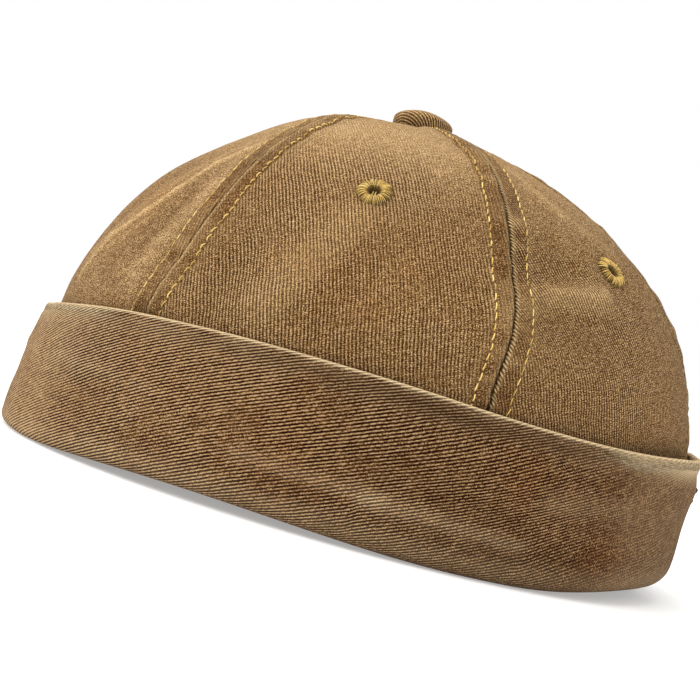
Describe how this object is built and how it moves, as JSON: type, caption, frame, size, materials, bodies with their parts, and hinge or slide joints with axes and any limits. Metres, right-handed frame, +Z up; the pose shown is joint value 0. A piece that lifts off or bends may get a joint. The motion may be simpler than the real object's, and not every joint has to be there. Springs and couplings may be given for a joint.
{
  "type": "brimless sailor cap",
  "caption": "Brimless sailor cap in washed twill: rounded panelled crown with covered button and stitched eyelets, turned-up cuff, short back strap with slide buckle.",
  "frame": {"origin": "middle of the cap's footprint, on the surface that it stands on", "axes": "+Z up to the button; -Y is the front of the cap, +Y the back with the strap and buckle, +X the wearer's left"},
  "size_m": [0.171, 0.211, 0.1251],
  "materials": {
    "crown": "washed golden brown cotton twill, matt, with paler worn ridges",
    "cuff": "the same twill, a little browner, coarse diagonal ribs, worn pale along the rolled top edge",
    "thread": "golden ochre cotton thread, slight sheen",
    "button": "twill pulled over a button, matt, paler on top",
    "strap": "folded twill strap with topstitched edges, matt",
    "buckle": "dark painted metal, slightly glossy, paint thin on the edges"
  },
  "bodies": {
    "root": {"panel_front_left": "crown", "panel_front_right": "crown", "panel_side_left": "crown", "panel_side_right": "crown", "panel_back_left": "crown", "panel_back_right": "crown", "cuff": "cuff", "eyelet_side_left": "thread", "eyelet_side_right": "thread", "eyelet_back_left": "thread", "eyelet_back_right": "thread", "top_button": "button", "back_strap": "strap", "back_buckle": "buckle"}
  },
  "joints": []
}
